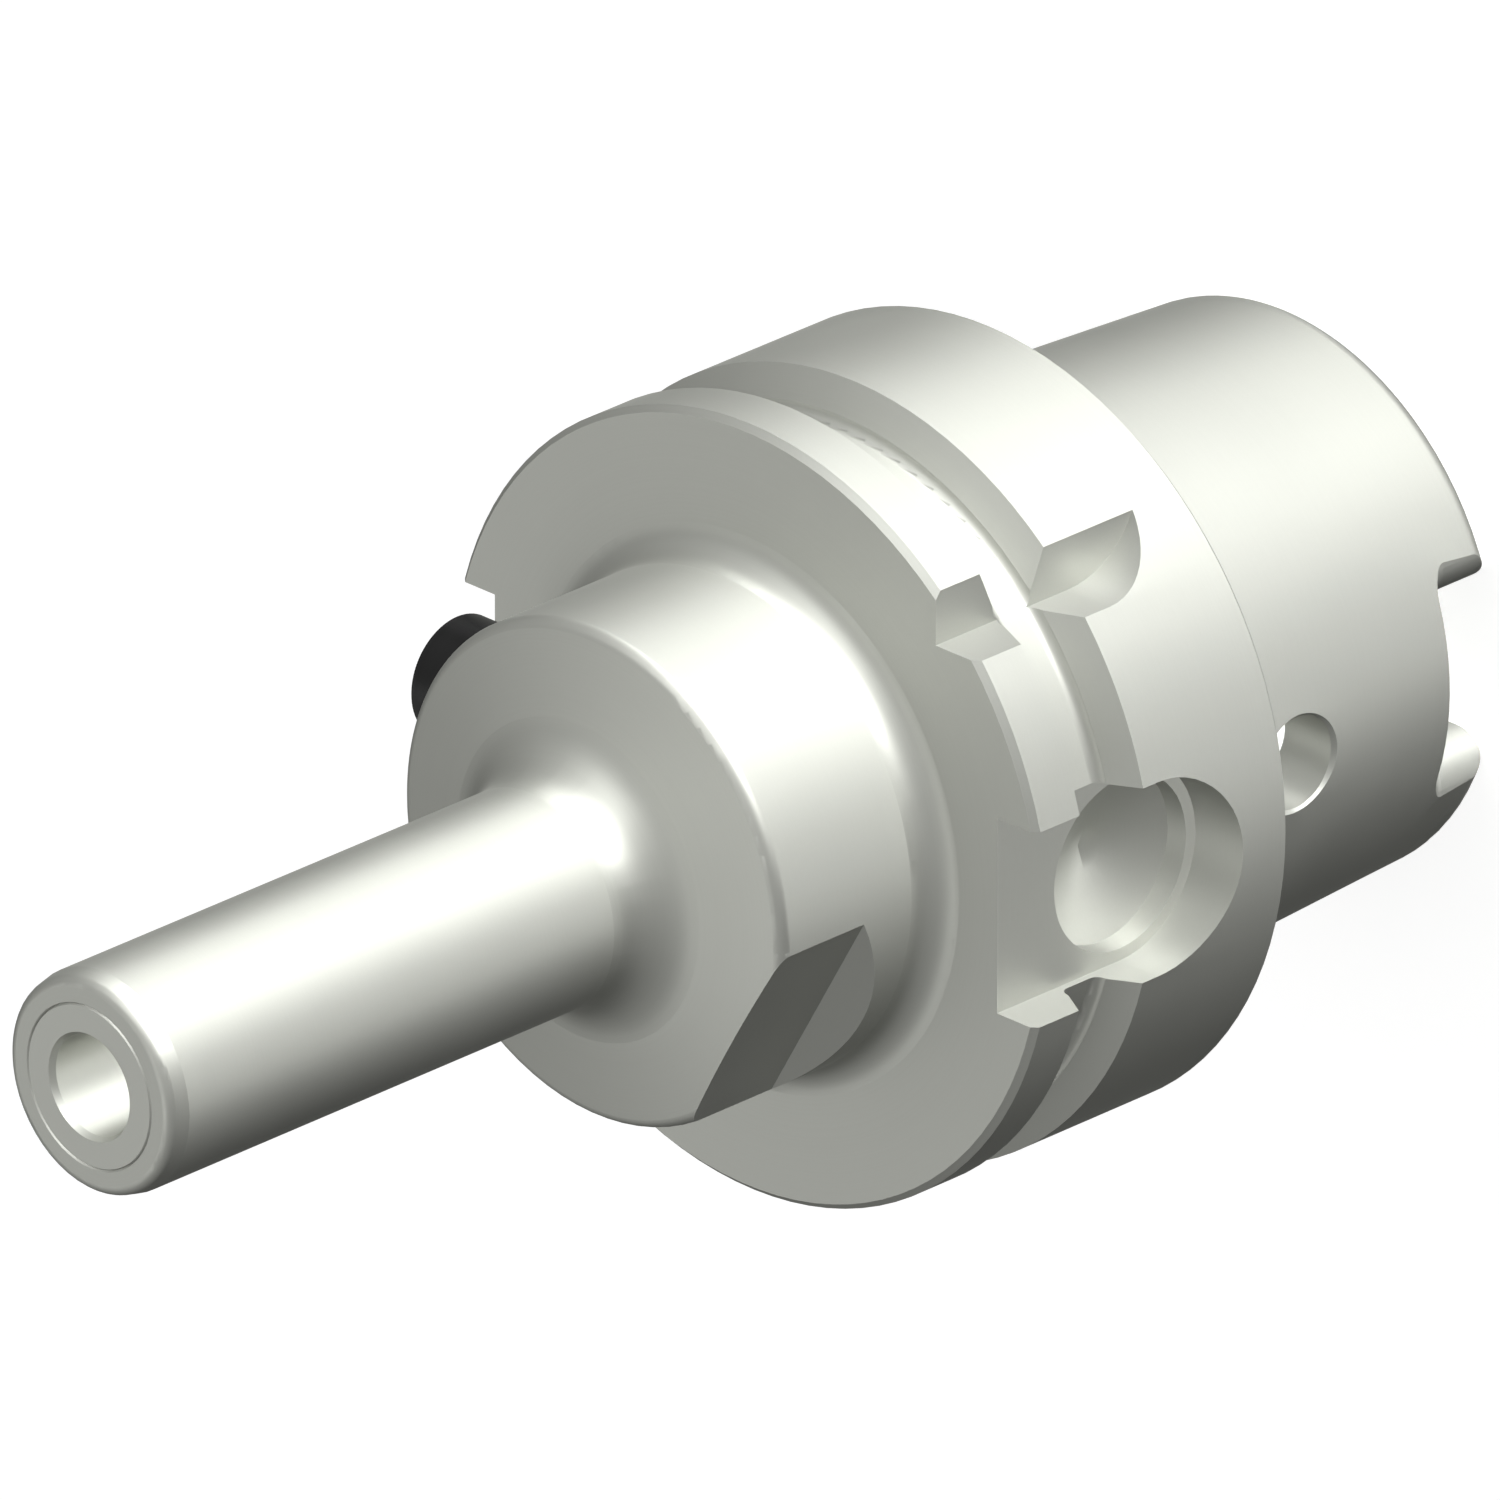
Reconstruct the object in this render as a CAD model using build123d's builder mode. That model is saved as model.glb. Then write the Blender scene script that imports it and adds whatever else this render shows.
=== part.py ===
import os
from math import cos, radians, sin, sqrt, tan

from build123d import *

os.makedirs("parts", exist_ok=True)

# Frame: Z is the spindle axis with the nose up, the origin is the centre of the gauge face,
# +X points out of the 16 mm keyway and +Y out of the side beside the index notch.

# Taper shank
shank_length = 32.0
gauge_radius = 24.005
gauge_depth = 6.3
taper_ratio = 9.98
shank_end_round = 1.5
face_relief_radius = 26.5
face_relief_depth = 0.3

# Hollow of the shank
cavity_radius = 17.0
cavity_mouth_chamfer = 1.0
cavity_bore_length = 12.6
clamping_flank_angle = 30.0
undercut_radius = 18.5
undercut_depth = 4.0
coolant_thread_radius = 8.5
coolant_thread_depth = 8.0
coolant_thread_chamfer = 0.6
coolant_passage_radius = 2.0

# Access hole through the shank wall
access_radius = 3.75
access_sink = 0.55
access_depth = 9.0

# Drive slots across the shank end
drive_slot_width = 12.54
drive_slot_depth = 6.15
drive_slot_floor_round = 1.5
drive_flank_round = 2.95
drive_flank_reach = 20.81

# Flange with its gripper groove
flange_radius = 31.5
flange_length = 26.0
flange_chamfer = 0.5
groove_height = 18.0
groove_floor_radius = 28.25
groove_floor_width = 4.0
groove_mouth_width = 6.75
groove_flank_angle = 30.0
groove_floor_round = 0.8

# Keyways, balancing hole and index notch in the flange
keyway_floor = 26.5
front_keyway_width = 16.0
rear_keyway_width = 18.0
keyway_end_height = 5.0
balance_radius = 7.0
balance_height = 13.0
balance_wall = 1.9
balance_point_angle = 140.0
notch_offset = 20.0
notch_runout_radius = 7.5
notch_runout_height = 12.0

# Body between flange and nose
body_radius = 20.0
body_length = 16.1
body_root_round = 2.5
body_rim_round = 1.0
front_slope = 12.0
flat_distance = 17.5
flat_direction = -30.0
flat_end_height = 33.5
flat_ramp_angle = 45.0
flat_cut_overrun = 1.0

# Nose
projection = 94.3
nose_radius = 8.8
nose_root_round = 5.0
nose_band_length = 1.75
nose_band_angle = 12.0
nose_edge_round = 0.8

# Expansion sleeve
sleeve_radius = 6.5
sleeve_length = 39.3
braze_gap = 0.03
joint_chamfer = 0.1
tool_radius = 4.0
lead_in_depth = 0.5
lead_in_angle = 30.0
clamping_depth = 37.0
relief_step = 0.2
chamber_wall = 1.2
chamber_length = 12.5
chamber_top_land = 4.3
chamber_mid_land = 5.0
feed_groove_width = 1.2
feed_groove_depth = 1.05

# Length stop screw behind the tool bore
stop_thread_radius = 3.0
thread_clearance = 0.05
stop_length = 16.0
stop_gap = 0.3
stop_floor_gap = 1.5
stop_coolant_radius = 1.0
stop_socket_flats = 3.0
stop_socket_depth = 3.0
stop_chamfer = 0.4

# Clamp screw with the piston bore behind it
screw_offset = 6.5
screw_height = 34.3
screw_reach = 22.2
screw_radius = 4.85
screw_clearance = 0.08
screw_length = 11.0
screw_travel = 3.3
screw_outer_chamfer = 0.1
screw_inner_chamfer = 0.5
screw_socket_flats = 5.0
screw_socket_depth = 5.0
screw_end_gap = 0.3

# Piston with its seal
piston_bore_radius = 3.0
piston_clearance = 0.05
piston_length = 7.0
piston_chamfer = 0.3
spigot_radius = 1.2
spigot_length = 1.2
seal_length = 2.5
seal_clearance = 0.02
seal_lip_depth = 0.8
seal_lip_width = 0.6

# Oil channel from the piston bore to the sleeve
channel_radius = 0.6
channel_reserve = 0.2
channel_end_gap = 0.3
channel_ring_radius = 5.85

# Bleed port on the underside
bleed_thread_radius = 2.0
bleed_screw_length = 5.0
bleed_screw_recess = 1.0
bleed_socket_flats = 2.0
bleed_socket_depth = 2.0
bleed_chamfer = 0.3
ball_radius = 1.25
ball_clearance = 0.1
seat_gap = 0.01
bleed_passage_radius = 0.6

# Shared by all cuts: how far a cutter runs past the surface, and the point of a twist drill
overrun = 5.0
drill_point_angle = 118.0

# Heights along the axis
flange_top = flange_length
rim_height = flange_top + body_length
root_height = rim_height + (body_radius - nose_radius) * tan(radians(front_slope))
sleeve_floor = projection - sleeve_length
tool_bore_end = projection - clamping_depth
stop_top = tool_bore_end - stop_gap
stop_bottom = stop_top - stop_length
stop_hole_floor = stop_bottom - stop_floor_gap
shoulder_height = cavity_bore_length - shank_length
flank_rise = (undercut_radius - cavity_radius) / tan(radians(clamping_flank_angle))
cavity_floor_radius = undercut_radius - undercut_depth

# Places along the clamp screw's axis
screw_inner_end = screw_length - screw_reach
screw_hole_radius = screw_radius + screw_clearance
screw_hole_end = screw_inner_end + screw_travel + screw_end_gap
piston_bore_start = screw_hole_end + (screw_hole_radius - piston_bore_radius) / tan(
    radians(drill_point_angle / 2)
)
piston_front = screw_inner_end + piston_length
seal_front = piston_front + seal_length
channel_x = seal_front + screw_travel + channel_reserve + channel_radius
channel_y = sqrt(channel_ring_radius**2 - channel_x**2)
chamber_end = channel_x + channel_radius + channel_end_gap
chamber_tip = chamber_end + piston_bore_radius / tan(radians(drill_point_angle / 2))

# Places along the bleed port, which runs in the +Y direction to the end of the piston bore
bleed_mouth = -sqrt(body_radius**2 - chamber_end**2)
bleed_screw_outer = bleed_mouth + bleed_screw_recess
bleed_screw_inner = bleed_screw_outer + bleed_screw_length
ball_center = bleed_screw_inner + ball_radius
ball_pocket_radius = ball_radius + ball_clearance
seat_angle = 45.0
seat_start = (
    ball_center
    + (ball_radius + seat_gap) / sin(radians(seat_angle))
    - ball_pocket_radius / tan(radians(seat_angle))
)
seat_end = seat_start + (ball_pocket_radius - bleed_passage_radius) / tan(radians(seat_angle))


def taper_radius(height):
    # The cone's radius at a height below the gauge face
    return gauge_radius + (height + gauge_depth) / (2 * taper_ratio)


def section(plane, points):
    # A closed outline on a plane, for a turned form
    with BuildSketch(plane) as outline:
        with BuildLine():
            Polyline(*points, close=True)
        make_face()
    return outline.sketch


def corner(outline, radius, height):
    # The vertex of a turned outline at this radius and height
    return outline.vertices().sort_by_distance((radius, height))[0]


def rings(part, radius, height):
    # The circular edges around the spindle axis with this radius and height
    tolerance = 0.01
    circles = part.edges().filter_by(GeomType.CIRCLE)
    return circles.filter_by(
        lambda edge: abs(edge.radius - radius) < tolerance
        and abs(edge.arc_center.Z - height) < tolerance
    )


# Planes whose X direction runs along a cross bore
clamp_bore_plane = Plane(
    origin=(0, screw_offset, screw_height), x_dir=(1, 0, 0), z_dir=(0, 0, 1)
)
bleed_bore_plane = Plane(
    origin=(chamber_end, 0, screw_height), x_dir=(0, 1, 0), z_dir=(0, 0, 1)
)
clamp_axis = Axis((0, screw_offset, screw_height), (1, 0, 0))
bleed_axis = Axis((chamber_end, 0, screw_height), (0, 1, 0))
access_bore_plane = Plane(origin=(0, 0, -access_depth), x_dir=(1, 0, 0), z_dir=(0, 0, 1))
balance_bore_plane = Plane(origin=(0, 0, balance_height), x_dir=(1, 0, 0), z_dir=(0, 0, 1))

# The form that both drive slots take out of the shank end: its flanks round off towards the
# taper, and its floor corners are rounded
with BuildPart() as drive_cutter:
    slot_half = drive_slot_width / 2
    mouth_half_width = slot_half + 2 * drive_flank_round
    with BuildSketch(Plane.XY.offset(-shank_length)):
        with BuildLine():
            flank = Line((0, slot_half), (drive_flank_reach - drive_flank_round, slot_half))
            rounding = JernArc(flank @ 1, flank % 1, radius=drive_flank_round, arc_size=90)
            Polyline(
                rounding @ 1,
                (drive_flank_reach, mouth_half_width),
                (gauge_radius + overrun, mouth_half_width),
                (gauge_radius + overrun, 0),
                (0, 0),
                flank @ 0,
            )
        make_face()
        mirror(about=Plane.XZ)
        mirror(about=Plane.YZ)
    extrude(amount=drive_slot_depth)
    fillet(drive_cutter.faces().sort_by(Axis.Z)[-1].edges(), drive_slot_floor_round)

# Base body
with BuildPart() as base_body:
    # Outside of the shank, flange, body and nose in one turned form
    nose_band_radius = nose_radius - nose_band_length * tan(radians(nose_band_angle))
    nose_band_start = projection - nose_band_length
    relief_root_radius = taper_radius(face_relief_depth)
    outside = [
        (0, -shank_length),
        (taper_radius(-shank_length), -shank_length),
        (relief_root_radius, face_relief_depth),
        (face_relief_radius, face_relief_depth),
        (face_relief_radius, 0),
        (flange_radius, 0),
        (flange_radius, flange_top),
        (body_radius, flange_top),
        (body_radius, rim_height),
        (nose_radius, root_height),
        (nose_radius, nose_band_start),
        (nose_band_radius, projection),
        (0, projection),
    ]
    with BuildSketch(Plane.XZ) as turned_outline:
        with BuildLine():
            Polyline(*outside, close=True)
        make_face()
        fillet(corner(turned_outline, taper_radius(-shank_length), -shank_length), shank_end_round)
        fillet(corner(turned_outline, body_radius, flange_top), body_root_round)
        fillet(corner(turned_outline, body_radius, rim_height), body_rim_round)
        fillet(corner(turned_outline, nose_radius, root_height), nose_root_round)
        fillet(corner(turned_outline, nose_band_radius, projection), nose_edge_round)
        chamfer(corner(turned_outline, flange_radius, flange_top), flange_chamfer)
        chamfer(corner(turned_outline, flange_radius, 0), flange_chamfer)
    revolve(axis=Axis.Z)

    # Gripper groove with straight lower walls, sloping flanks and rounded floor corners
    floor_half = groove_floor_width / 2
    mouth_half = groove_mouth_width / 2
    flank_slope = tan(radians(groove_flank_angle))
    flank_start_radius = flange_radius - (mouth_half - floor_half) / flank_slope
    outer_half = mouth_half + overrun * flank_slope
    groove_outline = [
        (groove_floor_radius, groove_height - floor_half),
        (flank_start_radius, groove_height - floor_half),
        (flange_radius + overrun, groove_height - outer_half),
        (flange_radius + overrun, groove_height + outer_half),
        (flank_start_radius, groove_height + floor_half),
        (groove_floor_radius, groove_height + floor_half),
    ]
    revolve(section(Plane.XZ, groove_outline), axis=Axis.Z, mode=Mode.SUBTRACT)
    fillet(
        rings(base_body, groove_floor_radius, groove_height - floor_half)
        + rings(base_body, groove_floor_radius, groove_height + floor_half),
        groove_floor_round,
    )

    # Every bore on the spindle axis, from the shank's mouth to the nose
    thread_mouth_radius = coolant_thread_radius + coolant_thread_chamfer
    inside = [
        (0, -shank_length - overrun),
        (cavity_radius + cavity_mouth_chamfer, -shank_length - overrun),
        (cavity_radius + cavity_mouth_chamfer, -shank_length),
        (cavity_radius, cavity_mouth_chamfer - shank_length),
        (cavity_radius, shoulder_height),
        (undercut_radius, shoulder_height + flank_rise),
        (undercut_radius, -undercut_depth),
        (cavity_floor_radius, 0),
        (thread_mouth_radius, 0),
        (coolant_thread_radius, coolant_thread_chamfer),
        (coolant_thread_radius, coolant_thread_depth),
        (coolant_passage_radius, coolant_thread_depth),
        (coolant_passage_radius, stop_hole_floor),
        (stop_thread_radius, stop_hole_floor),
        (stop_thread_radius, sleeve_floor),
        (sleeve_radius, sleeve_floor),
        (sleeve_radius, projection - joint_chamfer),
        (sleeve_radius + joint_chamfer, projection),
        (sleeve_radius + joint_chamfer, projection + overrun),
        (0, projection + overrun),
    ]
    revolve(section(Plane.XZ, inside), axis=Axis.Z, mode=Mode.SUBTRACT)

    # Keyways, open to the front face and round at their inner end
    for side, width in ((1, front_keyway_width), (-1, rear_keyway_width)):
        end_center = keyway_end_height + width / 2
        straight = flange_top + overrun - end_center
        with BuildSketch(Plane.YZ.offset(side * keyway_floor)):
            with Locations((0, end_center)):
                Circle(width / 2)
            with Locations((0, end_center + straight / 2)):
                Rectangle(width, straight)
        extrude(amount=side * (flange_radius - keyway_floor + overrun), mode=Mode.SUBTRACT)

    # Balancing hole in the floor of the front keyway
    balance_floor = keyway_floor - balance_wall
    balance_tip = balance_floor - balance_radius / tan(radians(balance_point_angle / 2))
    balance_outline = [
        (balance_tip, 0),
        (balance_floor, balance_radius),
        (keyway_floor, balance_radius),
        (keyway_floor, 0),
    ]
    revolve(
        section(balance_bore_plane, balance_outline),
        axis=Axis((0, 0, balance_height), (1, 0, 0)),
        mode=Mode.SUBTRACT,
    )

    # Index notch between +X and +Y, with the cutter's run-out at its end
    runout_center = notch_offset + notch_runout_radius
    notch_rise = flange_top + overrun - notch_runout_height
    with BuildSketch(Plane.YZ.offset(notch_offset)):
        with Locations((runout_center, notch_runout_height)):
            Circle(notch_runout_radius)
        with Locations((runout_center, notch_runout_height + notch_rise / 2)):
            Rectangle(2 * notch_runout_radius, notch_rise)
    extrude(amount=flange_radius, mode=Mode.SUBTRACT)

    # Flat on the body with a ramp out to the surface
    flat_normal = Vector(cos(radians(flat_direction)), sin(radians(flat_direction)), 0)
    flat_plane = Plane(origin=(0, 0, 0), x_dir=flat_normal, z_dir=flat_normal.cross(Vector(0, 0, 1)))
    flat_reach = body_radius - flat_distance + flat_cut_overrun
    flat_outline = [
        (flat_distance, root_height),
        (flat_distance, flat_end_height),
        (flat_distance + flat_reach, flat_end_height - flat_reach * tan(radians(flat_ramp_angle))),
        (flat_distance + flat_reach, root_height),
    ]
    extrude(section(flat_plane, flat_outline), amount=body_radius, both=True, mode=Mode.SUBTRACT)

    # Clamp screw hole, piston bore and their drill points in one stepped bore
    clamp_bore_outline = [
        (-body_radius - overrun, 0),
        (-body_radius - overrun, screw_hole_radius),
        (screw_hole_end, screw_hole_radius),
        (piston_bore_start, piston_bore_radius),
        (chamber_end, piston_bore_radius),
        (chamber_tip, 0),
    ]
    revolve(section(clamp_bore_plane, clamp_bore_outline), axis=clamp_axis, mode=Mode.SUBTRACT)

    # Oil channel, drilled from the sleeve's seat into the piston bore
    with BuildSketch(Plane.XY.offset(screw_height)):
        with Locations((channel_x, channel_y)):
            Circle(channel_radius)
    extrude(amount=sleeve_floor - screw_height, mode=Mode.SUBTRACT)

    # Bleed port with the ball's conical seat
    bleed_outline = [
        (-body_radius - overrun, 0),
        (-body_radius - overrun, bleed_thread_radius),
        (bleed_screw_inner, bleed_thread_radius),
        (bleed_screw_inner, ball_pocket_radius),
        (seat_start, ball_pocket_radius),
        (seat_end, bleed_passage_radius),
        (screw_offset, bleed_passage_radius),
        (screw_offset, 0),
    ]
    revolve(section(bleed_bore_plane, bleed_outline), axis=bleed_axis, mode=Mode.SUBTRACT)

    # Access hole through the shank wall, with its countersink
    access_surface = taper_radius(-access_depth)
    access_outline = [
        (cavity_radius, 0),
        (cavity_radius, access_radius),
        (access_surface - access_sink, access_radius),
        (access_surface + overrun, access_radius + access_sink + overrun),
        (access_surface + overrun, 0),
    ]
    revolve(
        section(access_bore_plane, access_outline),
        axis=Axis((0, 0, -access_depth), (1, 0, 0)),
        mode=Mode.SUBTRACT,
    )

    # Drive slots
    add(drive_cutter.part, mode=Mode.SUBTRACT)
base_body.part.label = "base_body"

# Expansion sleeve, brazed into the nose, with two oil chambers turned into its outside
with BuildPart() as expansion_sleeve:
    outer_radius = sleeve_radius - braze_gap
    chamber_floor = tool_radius + chamber_wall
    upper_chamber_top = projection - chamber_top_land
    upper_chamber_bottom = upper_chamber_top - chamber_length
    lower_chamber_top = upper_chamber_bottom - chamber_mid_land
    lower_chamber_bottom = lower_chamber_top - chamber_length
    sleeve_outline = [
        (tool_radius + relief_step, sleeve_floor),
        (outer_radius, sleeve_floor),
        (outer_radius, lower_chamber_bottom),
        (chamber_floor, lower_chamber_bottom),
        (chamber_floor, lower_chamber_top),
        (outer_radius, lower_chamber_top),
        (outer_radius, upper_chamber_bottom),
        (chamber_floor, upper_chamber_bottom),
        (chamber_floor, upper_chamber_top),
        (outer_radius, upper_chamber_top),
        (outer_radius, projection - joint_chamfer),
        (outer_radius - joint_chamfer, projection),
        (tool_radius + lead_in_depth * tan(radians(lead_in_angle)), projection),
        (tool_radius, projection - lead_in_depth),
        (tool_radius, tool_bore_end),
        (tool_radius + relief_step, tool_bore_end),
    ]
    revolve(section(Plane.XZ, sleeve_outline), axis=Axis.Z)

    # Groove along the outside that feeds both chambers from the oil channel
    feed_direction = Vector(channel_x, channel_y, 0).normalized()
    feed_plane = Plane(origin=(0, 0, sleeve_floor), x_dir=feed_direction, z_dir=(0, 0, 1))
    feed_floor = outer_radius - feed_groove_depth
    feed_top = upper_chamber_bottom + feed_groove_width
    with BuildSketch(feed_plane):
        with Locations((feed_floor + overrun / 2, 0)):
            Rectangle(overrun, feed_groove_width)
    extrude(amount=feed_top - sleeve_floor, mode=Mode.SUBTRACT)
expansion_sleeve.part.label = "expansion_sleeve"

# Length stop screw: coolant passage and a socket at both ends
with BuildPart() as length_stop_screw:
    stop_radius = stop_thread_radius - thread_clearance
    with BuildSketch(Plane.XY.offset(stop_bottom)):
        Circle(stop_radius)
    extrude(amount=stop_length)
    chamfer(
        rings(length_stop_screw, stop_radius, stop_bottom)
        + rings(length_stop_screw, stop_radius, stop_top),
        stop_chamfer,
    )
    with BuildSketch(Plane.XY.offset(stop_bottom)):
        Circle(stop_coolant_radius)
    extrude(amount=stop_length, mode=Mode.SUBTRACT)
    with BuildSketch(Plane.XY.offset(stop_top), Plane.XY.offset(stop_bottom + stop_socket_depth)):
        RegularPolygon(stop_socket_flats / 2, side_count=6, major_radius=False)
    extrude(amount=-stop_socket_depth, mode=Mode.SUBTRACT)
length_stop_screw.part.label = "length_stop_screw"

# Clamp screw with its hexagon socket at the outer end
with BuildPart() as clamp_screw:
    screw_outline = [
        (-screw_reach, 0),
        (-screw_reach, screw_radius - screw_outer_chamfer),
        (screw_outer_chamfer - screw_reach, screw_radius),
        (screw_inner_end - screw_inner_chamfer, screw_radius),
        (screw_inner_end, screw_radius - screw_inner_chamfer),
        (screw_inner_end, 0),
    ]
    revolve(section(clamp_bore_plane, screw_outline), axis=clamp_axis)
    with BuildSketch(Plane((-screw_reach, screw_offset, screw_height), z_dir=(1, 0, 0))):
        RegularPolygon(screw_socket_flats / 2, side_count=6, major_radius=False)
    extrude(amount=screw_socket_depth, mode=Mode.SUBTRACT)
clamp_screw.part.label = "clamp_screw"

# Piston, with a spigot that carries the seal
with BuildPart() as pressure_piston:
    piston_radius = piston_bore_radius - piston_clearance
    piston_outline = [
        (screw_inner_end, 0),
        (screw_inner_end, piston_radius - piston_chamfer),
        (screw_inner_end + piston_chamfer, piston_radius),
        (piston_front, piston_radius),
        (piston_front, spigot_radius),
        (piston_front + spigot_length, spigot_radius),
        (piston_front + spigot_length, 0),
    ]
    revolve(section(clamp_bore_plane, piston_outline), axis=clamp_axis)
pressure_piston.part.label = "pressure_piston"

# Piston seal: a cup with its lip towards the oil
with BuildPart() as piston_seal:
    seal_radius = piston_bore_radius - seal_clearance
    socket_radius = spigot_radius + seal_clearance
    socket_end = piston_front + spigot_length + seal_clearance
    seal_outline = [
        (piston_front, socket_radius),
        (piston_front, seal_radius),
        (seal_front, seal_radius),
        (seal_front, seal_radius - seal_lip_width),
        (seal_front - seal_lip_depth, seal_radius - 2 * seal_lip_width),
        (seal_front - seal_lip_depth, 0),
        (socket_end, 0),
        (socket_end, socket_radius),
    ]
    revolve(section(clamp_bore_plane, seal_outline), axis=clamp_axis)
piston_seal.part.label = "piston_seal"

# Bleed ball on its conical seat
with BuildPart() as bleed_ball:
    add(Pos(chamber_end, ball_center, screw_height) * Sphere(ball_radius, mode=Mode.PRIVATE))
bleed_ball.part.label = "bleed_ball"

# Bleed screw below the body's surface
with BuildPart() as bleed_screw:
    bleed_radius = bleed_thread_radius - thread_clearance
    bleed_screw_outline = [
        (bleed_screw_outer, 0),
        (bleed_screw_outer, bleed_radius - bleed_chamfer),
        (bleed_screw_outer + bleed_chamfer, bleed_radius),
        (bleed_screw_inner - bleed_chamfer, bleed_radius),
        (bleed_screw_inner, bleed_radius - bleed_chamfer),
        (bleed_screw_inner, 0),
    ]
    revolve(section(bleed_bore_plane, bleed_screw_outline), axis=bleed_axis)
    with BuildSketch(Plane((chamber_end, bleed_screw_outer, screw_height), z_dir=(0, 1, 0))):
        RegularPolygon(bleed_socket_flats / 2, side_count=6, major_radius=False)
    extrude(amount=bleed_socket_depth, mode=Mode.SUBTRACT)
bleed_screw.part.label = "bleed_screw"

for piece in (
    base_body,
    expansion_sleeve,
    length_stop_screw,
    clamp_screw,
    pressure_piston,
    piston_seal,
    bleed_ball,
    bleed_screw,
):
    export_step(piece.part, f"parts/{piece.part.label}.step")
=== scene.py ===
from math import cos, pi, radians, sin

import bpy
from mathutils import Matrix, Vector


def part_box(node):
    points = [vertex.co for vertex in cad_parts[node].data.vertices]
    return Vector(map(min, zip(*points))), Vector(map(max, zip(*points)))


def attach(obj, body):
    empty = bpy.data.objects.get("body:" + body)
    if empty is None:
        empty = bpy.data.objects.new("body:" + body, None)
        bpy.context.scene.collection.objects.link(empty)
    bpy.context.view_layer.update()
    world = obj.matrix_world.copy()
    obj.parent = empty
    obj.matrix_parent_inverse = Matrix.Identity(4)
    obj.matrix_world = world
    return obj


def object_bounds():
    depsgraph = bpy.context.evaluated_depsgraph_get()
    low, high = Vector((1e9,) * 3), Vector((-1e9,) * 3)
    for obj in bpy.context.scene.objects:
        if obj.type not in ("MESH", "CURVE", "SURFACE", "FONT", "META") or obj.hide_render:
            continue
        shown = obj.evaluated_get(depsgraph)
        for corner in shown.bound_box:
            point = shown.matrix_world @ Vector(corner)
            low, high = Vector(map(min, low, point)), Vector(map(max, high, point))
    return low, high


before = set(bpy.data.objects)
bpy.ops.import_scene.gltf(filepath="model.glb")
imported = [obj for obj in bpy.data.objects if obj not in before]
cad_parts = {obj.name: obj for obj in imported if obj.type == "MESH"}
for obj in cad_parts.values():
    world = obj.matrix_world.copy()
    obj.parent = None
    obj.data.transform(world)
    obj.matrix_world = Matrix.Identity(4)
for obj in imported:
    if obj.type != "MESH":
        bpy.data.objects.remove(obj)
cadLow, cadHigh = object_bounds()
print("frame loaded")

millimetre = 0.001


# Small helpers for building node trees

def addNode(tree, kind, x, y, **settings):
    node = tree.nodes.new(kind)
    node.location = (x, y)
    for name, value in settings.items():
        setattr(node, name, value)
    return node


def addMath(tree, operation, x, y, *values, clamp=False):
    node = addNode(tree, "ShaderNodeMath", x, y, operation=operation, use_clamp=clamp)
    for socket, value in zip(node.inputs, values):
        if isinstance(value, bpy.types.NodeSocket):
            tree.links.new(value, socket)
        else:
            socket.default_value = value
    return node.outputs[0]


def addSeparate(tree, x, y, source):
    node = addNode(tree, "ShaderNodeSeparateXYZ", x, y)
    tree.links.new(source, node.inputs[0])
    return node.outputs


# How far a vector reaches from the Z axis
def addRadius(tree, x, y, parts):
    squares = addMath(tree, "ADD", x + 170, y,
                      addMath(tree, "MULTIPLY", x, y + 60, parts[0], parts[0]),
                      addMath(tree, "MULTIPLY", x, y - 80, parts[1], parts[1]))
    return addMath(tree, "SQRT", x + 330, y, squares)


def newGroup(name, inputs, outputs):
    group = bpy.data.node_groups.new(name, "ShaderNodeTree")
    for label, kind, value in inputs:
        socket = group.interface.new_socket(name=label, in_out="INPUT", socket_type=kind)
        if value is not None:
            socket.default_value = value
    for label, kind in outputs:
        group.interface.new_socket(name=label, in_out="OUTPUT", socket_type=kind)
    return group, addNode(group, "NodeGroupInput", -1400, 0), addNode(group, "NodeGroupOutput", 1000, 0)


def placeGroup(tree, group, x, y, **values):
    node = addNode(tree, "ShaderNodeGroup", x, y, node_tree=group)
    for label, value in values.items():
        node.inputs[label.replace("_", " ")].default_value = value
    return node


# Tool marks left by turning: fine lines that follow the spindle axis on every turned face
markSettings = {"lineDetail": 2.0, "lineRoughness": 0.6, "patchDetail": 3.0}


def makeTurningMarks():
    group, start, end = newGroup(
        "turningMarks",
        [
            ("Vector", "NodeSocketVector", None),
            ("Line Spacing", "NodeSocketFloat", 0.2),
            ("Patch Size", "NodeSocketFloat", 9.0),
        ],
        [("Lines", "NodeSocketFloat"), ("Patches", "NodeSocketFloat")],
    )
    links = group.links
    parts = addSeparate(group, -1200, 0, start.outputs["Vector"])
    profile = addNode(group, "ShaderNodeCombineXYZ", -540, 0)
    links.new(addRadius(group, -1030, 60, parts), profile.inputs[0])
    links.new(parts[2], profile.inputs[1])
    lineScale = addMath(group, "DIVIDE", -700, -160, 1 / millimetre, start.outputs["Line Spacing"])
    fine = addNode(group, "ShaderNodeTexNoise", -340, 60, noise_dimensions="2D")
    links.new(profile.outputs[0], fine.inputs["Vector"])
    links.new(lineScale, fine.inputs["Scale"])
    fine.inputs["Detail"].default_value = markSettings["lineDetail"]
    fine.inputs["Roughness"].default_value = markSettings["lineRoughness"]
    links.new(fine.outputs[0], end.inputs["Lines"])
    patchScale = addMath(group, "DIVIDE", -540, -300, 1 / millimetre, start.outputs["Patch Size"])
    patches = addNode(group, "ShaderNodeTexNoise", -340, -260)
    links.new(start.outputs["Vector"], patches.inputs["Vector"])
    links.new(patchScale, patches.inputs["Scale"])
    patches.inputs["Detail"].default_value = markSettings["patchDetail"]
    links.new(patches.outputs[0], end.inputs["Patches"])
    return group


# Edges lightened in colour: handling wear on convex edges, and a painted highlight along every edge, concave ones too.
# The mask is 1 along a convex or concave edge
glintSettings = {"samples": 4, "gain": 6.0}


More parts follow.
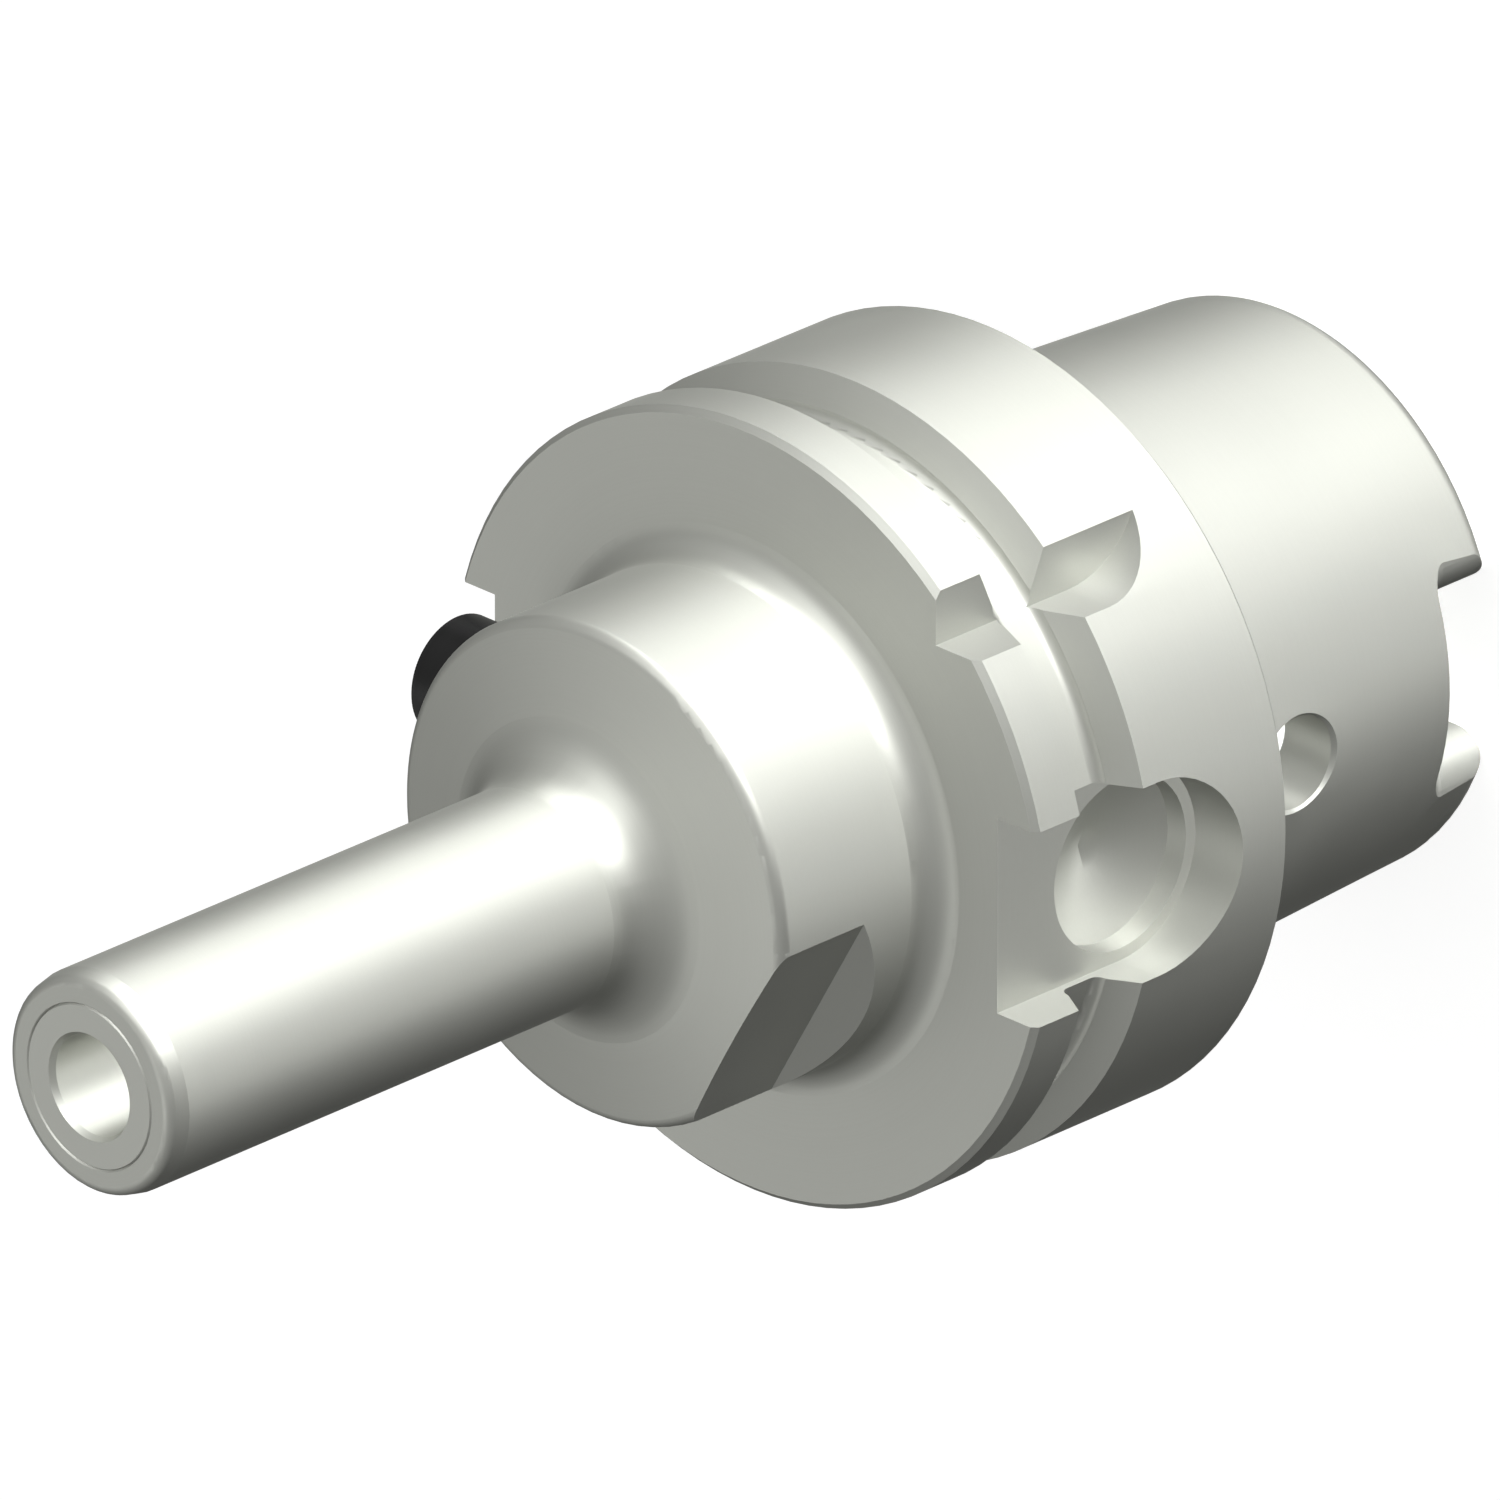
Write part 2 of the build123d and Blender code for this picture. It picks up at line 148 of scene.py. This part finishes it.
def makeEdgeGlint():
    group, start, end = newGroup(
        "edgeGlint",
        [("Width", "NodeSocketFloat", 0.15)],
        [("Mask", "NodeSocketFloat")],
    )
    links = group.links
    bevel = addNode(group, "ShaderNodeBevel", -800, 0, samples=glintSettings["samples"])
    links.new(addMath(group, "MULTIPLY", -1000, 0, start.outputs["Width"], millimetre), bevel.inputs["Radius"])
    plain = addNode(group, "ShaderNodeNewGeometry", -800, -200)
    turn = addNode(group, "ShaderNodeVectorMath", -600, 0, operation="DOT_PRODUCT")
    links.new(bevel.outputs[0], turn.inputs[0])
    links.new(plain.outputs["Normal"], turn.inputs[1])
    spread = addMath(group, "SUBTRACT", -400, 0, 1.0, turn.outputs["Value"])
    mask = addMath(group, "MULTIPLY", -200, 0, spread, glintSettings["gain"], clamp=True)
    links.new(mask, end.inputs["Mask"])
    return group


# Where a turned face closes on itself, along +X, its normal is set to point straight away from the spindle axis.
# Reach is the cosine of the band's half angle, and Most Turn is the sine of the largest correction.
def makeTurnedNormal():
    group, start, end = newGroup(
        "turnedNormal",
        [
            ("Vector", "NodeSocketVector", None),
            ("Reach", "NodeSocketFloat", 0.99),
            ("Most Turn", "NodeSocketFloat", 0.07),
        ],
        [("Normal", "NodeSocketVector")],
    )
    links = group.links
    place = addSeparate(group, -1200, 200, start.outputs["Vector"])
    surface = addNode(group, "ShaderNodeNewGeometry", -1400, -300)
    facing = addSeparate(group, -1200, -300, surface.outputs["Normal"])
    radius = addRadius(group, -1020, 200, place)
    outward = addRadius(group, -1020, -300, facing)
    cosine = addMath(group, "DIVIDE", -500, 300, place[0], radius)
    sine = addMath(group, "DIVIDE", -500, 120, place[1], radius)
    turn = addMath(group, "SUBTRACT", -180, -100,
                   addMath(group, "MULTIPLY", -340, -40, cosine, facing[1]),
                   addMath(group, "MULTIPLY", -340, -180, sine, facing[0]))
    sameSide = addMath(group, "GREATER_THAN", 120, 0, addMath(group, "MULTIPLY", -20, 0, sine, turn), 0.0)
    near = addMath(group, "GREATER_THAN", -20, 160, cosine, start.outputs["Reach"])
    small = addMath(group, "LESS_THAN", 120, -200,
                    addMath(group, "ABSOLUTE", -20, -160, turn),
                    addMath(group, "MULTIPLY", -20, -300, outward, start.outputs["Most Turn"]))
    mask = addMath(group, "MULTIPLY", 420, 0, addMath(group, "MULTIPLY", 270, 60, sameSide, near), small)
    turned = addNode(group, "ShaderNodeCombineXYZ", 420, 260)
    links.new(addMath(group, "MULTIPLY", 270, 340, cosine, outward), turned.inputs[0])
    links.new(addMath(group, "MULTIPLY", 270, 200, sine, outward), turned.inputs[1])
    links.new(facing[2], turned.inputs[2])
    choice = addNode(group, "ShaderNodeMix", 640, 100, data_type="VECTOR")
    links.new(mask, choice.inputs["Factor"])
    links.new(surface.outputs["Normal"], choice.inputs["A"])
    links.new(turned.outputs[0], choice.inputs["B"])
    links.new(choice.outputs["Result"], end.inputs["Normal"])
    return group


turningMarks = makeTurningMarks()
edgeGlint = makeEdgeGlint()
turnedNormal = makeTurnedNormal()

# Share of the fine lines and of the wide patches in the colour's change
toneShare = {"lines": 0.45, "patches": 0.55}


# Every finish is a Principled shader whose colour, roughness and normal are driven by the groups above
def makeSteel(name, finish):
    material = bpy.data.materials.new(name)
    material.use_nodes = True
    tree = material.node_tree
    links = tree.links
    shader = tree.nodes["Principled BSDF"]
    shader.location = (600, 0)
    tree.nodes["Material Output"].location = (900, 0)
    shader.inputs["Metallic"].default_value = finish["metallic"]
    shader.inputs["Specular IOR Level"].default_value = finish.get("specular", 0.5)
    shader.inputs["Specular Tint"].default_value = (*finish.get("grazing", (1, 1, 1)), 1.0)
    where = addNode(tree, "ShaderNodeTexCoord", -1200, 0)
    centred = addNode(tree, "ShaderNodeMapping", -1000, 0)
    links.new(where.outputs["Object"], centred.inputs["Vector"])
    centred.inputs["Location"].default_value = finish.get("centre", (0, 0, 0))
    centred.inputs["Rotation"].default_value = finish.get("turn", (0, 0, 0))
    marks = placeGroup(tree, turningMarks, -760, 100,
                       Line_Spacing=finish["lineSpacing"], Patch_Size=finish["patchSize"])
    links.new(centred.outputs[0], marks.inputs["Vector"])
    glint = placeGroup(tree, edgeGlint, -760, -200, Width=finish["edgeWidth"])

    tone = addNode(tree, "ShaderNodeMix", 0, 200, data_type="RGBA")
    tone.inputs["A"].default_value = (*finish["dark"], 1)
    tone.inputs["B"].default_value = (*finish["light"], 1)
    cloud = addMath(tree, "MULTIPLY", -320, 260, marks.outputs["Lines"], toneShare["lines"])
    blend = addMath(tree, "MULTIPLY_ADD", -160, 260, marks.outputs["Patches"], toneShare["patches"], cloud, clamp=True)
    links.new(blend, tone.inputs["Factor"])
    # Edge wear and painted highlight: the lighter edge colour goes on along concave as well as convex edges
    edgeWearAndHighlight = addNode(tree, "ShaderNodeMix", 260, 200, data_type="RGBA")
    links.new(addMath(tree, "MULTIPLY", 60, -20, glint.outputs["Mask"], finish["edgeAmount"]), edgeWearAndHighlight.inputs["Factor"])
    links.new(tone.outputs["Result"], edgeWearAndHighlight.inputs["A"])
    edgeWearAndHighlight.inputs["B"].default_value = (*finish["edgeColour"], 1)
    links.new(edgeWearAndHighlight.outputs["Result"], shader.inputs["Base Color"])

    spread = finish["roughnessSpread"]
    smoothest = finish["roughness"] - spread / 2
    rough = addMath(tree, "MULTIPLY_ADD", 60, -160, marks.outputs["Patches"], spread, smoothest)
    links.new(rough, shader.inputs["Roughness"])

    bump = addNode(tree, "ShaderNodeBump", 320, -380)
    bump.inputs["Strength"].default_value = finish["bumpStrength"]
    bump.inputs["Distance"].default_value = finish["bumpDepth"] * millimetre
    links.new(marks.outputs["Lines"], bump.inputs["Height"])
    if finish.get("turned"):
        straight = placeGroup(tree, turnedNormal, 60, -460)
        links.new(centred.outputs[0], straight.inputs["Vector"])
        links.new(straight.outputs["Normal"], bump.inputs["Normal"])
    links.new(bump.outputs[0], shader.inputs["Normal"])
    return material


# Body: hardened steel, fine turned and ground to a warm satin grey
bodyFinish = {
    "metallic": 1.0, "roughness": 0.57, "roughnessSpread": 0.05,
    "dark": (0.352, 0.358, 0.331), "light": (0.378, 0.384, 0.355),
    "lineSpacing": 0.16, "patchSize": 11.0,
    "edgeWidth": 0.12, "edgeAmount": 0.2, "edgeColour": (0.47, 0.474, 0.446),
    "bumpStrength": 0.3, "bumpDepth": 0.003, "turned": True, "grazing": (0.1, 0.1, 0.1),
}

# Sleeve: the same steel, ground finer
sleeveFinish = dict(bodyFinish, roughness=0.52, lineSpacing=0.1, patchSize=6.0)

# Screws: black oxide, smooth and faintly marked
screwFinish = {
    "metallic": 0.0, "roughness": 0.36, "roughnessSpread": 0.06, "specular": 0.22,
    "dark": (0.0025, 0.0025, 0.0025), "light": (0.0045, 0.0045, 0.0045),
    "lineSpacing": 0.3, "patchSize": 2.5,
    "edgeWidth": 0.08, "edgeAmount": 0.15, "edgeColour": (0.06, 0.06, 0.06),
    "bumpStrength": 0.2, "bumpDepth": 0.003,
}

# Clamp screw: the marks run round its own axis
screwLow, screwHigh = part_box("clamp_screw")
screwMiddle = (screwLow + screwHigh) / 2
clampScrewFinish = dict(
    screwFinish, centre=(-screwMiddle.z, -screwMiddle.y, screwHigh.x), turn=(0, pi / 2, 0),
)

# Piston and ball: ground bright
groundFinish = dict(bodyFinish, roughness=0.3, lineSpacing=0.06, patchSize=3.0, turned=False)

# Seal: matt black rubber
sealFinish = {
    "metallic": 0.0, "roughness": 0.6, "roughnessSpread": 0.15,
    "dark": (0.020, 0.022, 0.024), "light": (0.035, 0.037, 0.040),
    "lineSpacing": 0.3, "patchSize": 0.6,
    "edgeWidth": 0.1, "edgeAmount": 0.1, "edgeColour": (0.08, 0.08, 0.08),
    "bumpStrength": 0.2, "bumpDepth": 0.01,
}

finishes = {
    "base_body": makeSteel("bodySteel", bodyFinish),
    "expansion_sleeve": makeSteel("sleeveSteel", sleeveFinish),
    "clamp_screw": makeSteel("blackScrewSteel", clampScrewFinish),
    "bleed_screw": makeSteel("blackBleedSteel", screwFinish),
    "length_stop_screw": makeSteel("blackStopSteel", screwFinish),
    "pressure_piston": makeSteel("pistonSteel", groundFinish),
    "bleed_ball": makeSteel("ballSteel", groundFinish),
    "piston_seal": makeSteel("sealRubber", sealFinish),
}
for nodeName, material in finishes.items():
    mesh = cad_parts[nodeName].data
    mesh.materials.clear()
    mesh.materials.append(material)
print("finishes made")

# Internal thread of the coolant tube's seat: one helical ridge, swept by Geometry Nodes
coolantThread = {
    "Radius": 8.62 * millimetre, "Pitch": 1.0 * millimetre, "Turns": 6.0, "Bottom": 1.2 * millimetre,
    "Ridge": 0.42 * millimetre, "Steps": 64,
}
ridgeSettings = {"sides": 4, "fadeRate": 12.0, "thinnest": 0.02}


def makeHelixTree(name):
    tree = bpy.data.node_groups.new(name, "GeometryNodeTree")
    inputs = {
        "Radius": "NodeSocketFloat", "Pitch": "NodeSocketFloat", "Turns": "NodeSocketFloat",
        "Bottom": "NodeSocketFloat", "Ridge": "NodeSocketFloat", "Steps": "NodeSocketInt",
        "Finish": "NodeSocketMaterial",
    }
    for label, kind in inputs.items():
        tree.interface.new_socket(name=label, in_out="INPUT", socket_type=kind)
    tree.interface.new_socket(name="Geometry", in_out="OUTPUT", socket_type="NodeSocketGeometry")
    links = tree.links
    start = addNode(tree, "NodeGroupInput", -900, 0)
    end = addNode(tree, "NodeGroupOutput", 960, 0)
    helix = addNode(tree, "GeometryNodeCurveSpiral", -500, 200)
    links.new(start.outputs["Steps"], helix.inputs["Resolution"])
    links.new(start.outputs["Turns"], helix.inputs["Rotations"])
    links.new(start.outputs["Radius"], helix.inputs["Start Radius"])
    links.new(start.outputs["Radius"], helix.inputs["End Radius"])
    rise = addMath(tree, "MULTIPLY", -700, 60, start.outputs["Turns"], start.outputs["Pitch"])
    links.new(rise, helix.inputs["Height"])

    # The ridge thins out towards both ends
    along = addNode(tree, "GeometryNodeSplineParameter", -500, -60)
    middle = addMath(tree, "ABSOLUTE", -160, -60,
                     addMath(tree, "SUBTRACT", -320, -60, along.outputs["Factor"], 0.5))
    fade = addMath(tree, "MULTIPLY", 160, -60,
                   addMath(tree, "SUBTRACT", 0, -60, 0.5, middle), ridgeSettings["fadeRate"], clamp=True)
    thin = addNode(tree, "GeometryNodeSetCurveRadius", 300, 200)
    links.new(helix.outputs[0], thin.inputs["Curve"])
    links.new(addMath(tree, "MAXIMUM", 240, -160, fade, ridgeSettings["thinnest"]), thin.inputs["Radius"])
    ridge = addNode(tree, "GeometryNodeCurvePrimitiveCircle", 160, -260)
    ridge.inputs["Resolution"].default_value = ridgeSettings["sides"]
    links.new(start.outputs["Ridge"], ridge.inputs["Radius"])
    sweep = addNode(tree, "GeometryNodeCurveToMesh", 460, 100)
    links.new(thin.outputs[0], sweep.inputs["Curve"])
    links.new(ridge.outputs[0], sweep.inputs["Profile Curve"])
    sweep.inputs["Fill Caps"].default_value = True

    offset = addNode(tree, "ShaderNodeCombineXYZ", 460, -120)
    links.new(start.outputs["Bottom"], offset.inputs[2])
    lift = addNode(tree, "GeometryNodeTransform", 620, 100)
    links.new(sweep.outputs[0], lift.inputs["Geometry"])
    links.new(offset.outputs[0], lift.inputs["Translation"])
    real = addNode(tree, "GeometryNodeRealizeInstances", 740, 100)
    links.new(lift.outputs[0], real.inputs[0])
    paint = addNode(tree, "GeometryNodeSetMaterial", 840, 100)
    links.new(real.outputs[0], paint.inputs["Geometry"])
    links.new(start.outputs["Finish"], paint.inputs["Material"])
    links.new(paint.outputs[0], end.inputs[0])
    return tree


def sweepHelix(name, tree, sizes, finish):
    carrier = bpy.data.objects.new(name + "Carrier", bpy.data.meshes.new(name + "Carrier"))
    bpy.context.scene.collection.objects.link(carrier)
    modifier = carrier.modifiers.new("helix", "NODES")
    modifier.node_group = tree
    sockets = {item.name: item.identifier for item in tree.interface.items_tree if item.in_out == "INPUT"}
    for label, value in sizes.items():
        modifier[sockets[label]] = value
    modifier[sockets["Finish"]] = finish
    depsgraph = bpy.context.evaluated_depsgraph_get()
    mesh = bpy.data.meshes.new_from_object(carrier.evaluated_get(depsgraph), depsgraph=depsgraph)
    bpy.data.objects.remove(carrier)
    piece = bpy.data.objects.new(name, mesh)
    bpy.context.scene.collection.objects.link(piece)
    return piece


helixTree = makeHelixTree("threadHelix")
threadPiece = sweepHelix("coolant_thread_ridge", helixTree, coolantThread, finishes["base_body"])
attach(threadPiece, "chuck")
print("thread made")


# A strength that takes one value in gloss and another in plain light
def addGlossLevel(tree, x, y, rays, setting):
    return addMath(tree, "MULTIPLY_ADD", x, y, rays.outputs["Is Glossy Ray"],
                   setting["inSteel"] - setting["plain"], setting["plain"])


# 1 for rays from the camera and rays through glass
def addSeen(tree, x, y, rays):
    return addMath(tree, "MAXIMUM", x, y, rays.outputs["Is Camera Ray"], rays.outputs["Is Transmission Ray"])


# Studio floor: white to the camera, with the object's soft shadow, and dimmer in gloss
floorSettings = {"size": 24.0, "glow": 0.36, "colour": (0.8, 0.8, 0.8), "inSteel": 0.1, "plain": 0.05}


def makeFloor():
    half = floorSettings["size"] / 2
    level = cadLow.z
    corners = [(-half, -half, level), (half, -half, level), (half, half, level), (-half, half, level)]
    mesh = bpy.data.meshes.new("studioFloor")
    mesh.from_pydata(corners, [], [(0, 1, 2, 3)])
    floor = bpy.data.objects.new("studioFloor", mesh)
    bpy.context.scene.collection.objects.link(floor)
    material = bpy.data.materials.new("floorWhite")
    material.use_nodes = True
    tree = material.node_tree
    tree.nodes.remove(tree.nodes["Principled BSDF"])
    rays = addNode(tree, "ShaderNodeLightPath", -700, 200)
    matt = addNode(tree, "ShaderNodeBsdfDiffuse", -300, 0)
    matt.inputs["Color"].default_value = (*floorSettings["colour"], 1)
    glow = addNode(tree, "ShaderNodeEmission", -300, 120)
    glow.inputs["Strength"].default_value = floorSettings["glow"]
    white = addNode(tree, "ShaderNodeAddShader", -60, 80)
    tree.links.new(glow.outputs[0], white.inputs[0])
    tree.links.new(matt.outputs[0], white.inputs[1])
    dim = addNode(tree, "ShaderNodeEmission", -300, -160)
    tree.links.new(addGlossLevel(tree, -500, -160, rays, floorSettings), dim.inputs["Strength"])
    pick = addNode(tree, "ShaderNodeMixShader", 160, 0)
    tree.links.new(addSeen(tree, -60, 300, rays), pick.inputs[0])
    tree.links.new(dim.outputs[0], pick.inputs[1])
    tree.links.new(white.outputs[0], pick.inputs[2])
    tree.links.new(pick.outputs[0], tree.nodes["Material Output"].inputs["Surface"])
    mesh.materials.append(material)


makeFloor()

# Lamps, each by the bearing and height it shines from, in degrees
lamps = {
    "keyLamp": {"bearing": 63, "height": -6, "strength": 6.9, "spread": 28, "shadow": False},
    "sideLamp": {"bearing": 95, "height": -20, "strength": 0.79, "spread": 16, "shadow": False},
    "rearLamp": {"bearing": 111, "height": -25, "strength": 1.0, "spread": 16, "shadow": False},
    "riseLamp": {"bearing": 90, "height": 45, "strength": 1.3, "spread": 20, "shadow": False},
    "topLamp": {"bearing": 224, "height": 61, "strength": 0.62, "spread": 30, "shadow": False},
    "lowLamp": {"bearing": 346, "height": -49, "strength": 0.66, "spread": 24, "shadow": False},
    "footLamp": {"bearing": 32, "height": -54, "strength": 0.75, "spread": 30, "shadow": False},
    "roofLamp": {"bearing": 0, "height": 90, "strength": 0.2, "spread": 60, "shadow": True},
}
for name, setting in lamps.items():
    lamp = bpy.data.lights.new(name, "SUN")
    lamp.energy = setting["strength"]
    lamp.angle = radians(setting["spread"])
    lamp.use_shadow = setting["shadow"]
    lamp.cycles.use_multiple_importance_sampling = setting["shadow"]
    holder = bpy.data.objects.new(name, lamp)
    bearing, height = radians(setting["bearing"]), radians(setting["height"])
    shineFrom = Vector((cos(height) * cos(bearing), cos(height) * sin(bearing), sin(height)))
    holder.rotation_euler = shineFrom.to_track_quat("Z", "Y").to_euler()
    bpy.context.scene.collection.objects.link(holder)

# World: white to the camera and through glass, and a softer white in gloss
worldSettings = {"colour": (1.0, 1.0, 1.0), "inSteel": 0.5, "plain": 0.3}


def makeWorld():
    world = bpy.data.worlds.new("studio")
    bpy.context.scene.world = world
    world.use_nodes = True
    tree = world.node_tree
    background = tree.nodes["Background"]
    background.inputs["Color"].default_value = (*worldSettings["colour"], 1)
    rays = addNode(tree, "ShaderNodeLightPath", -900, 200)
    strength = addMath(tree, "MAXIMUM", -300, 100,
                       addSeen(tree, -600, 200, rays), addGlossLevel(tree, -600, 0, rays, worldSettings))
    tree.links.new(strength, background.inputs["Strength"])


makeWorld()
print("studio lit")

# Camera: a long lens, fitted to the flange, the nose and the shank in the photograph
cameraSettings = {
    "bearing": 44.969, "height": 24.979, "distance": 3.1498, "sensor": 36.0, "near": 0.1, "far": 40.0,
    "picturePixels": 1500, "pixelsPerMillimetre": 13.396,
    "aim": Vector((0, 0, 26)) * millimetre, "shiftRight": 0.384 * millimetre, "shiftUp": 4.417 * millimetre,
}


def makeCamera():
    bearing, height = radians(cameraSettings["bearing"]), radians(cameraSettings["height"])
    towards = Vector((cos(height) * sin(bearing), sin(height), cos(height) * cos(bearing)))
    right = Vector((cos(bearing), 0, -sin(bearing)))
    up = towards.cross(right)
    target = cameraSettings["aim"] + cameraSettings["shiftRight"] * right + cameraSettings["shiftUp"] * up
    place = target + cameraSettings["distance"] * towards
    frameWidth = cameraSettings["picturePixels"] / cameraSettings["pixelsPerMillimetre"] * millimetre
    data = bpy.data.cameras.new("photoCamera")
    data.sensor_width = cameraSettings["sensor"]
    data.lens = cameraSettings["sensor"] * cameraSettings["distance"] / frameWidth
    data.clip_start, data.clip_end = cameraSettings["near"], cameraSettings["far"]
    camera = bpy.data.objects.new("photoCamera", data)
    columns = (right, up, towards, place)
    camera.matrix_world = Matrix([[column[row] for column in columns] for row in range(3)] + [[0, 0, 0, 1]])
    bpy.context.scene.collection.objects.link(camera)
    bpy.context.scene.camera = camera


makeCamera()
bpy.context.scene.view_settings.view_transform = "Standard"

print("ready to render")
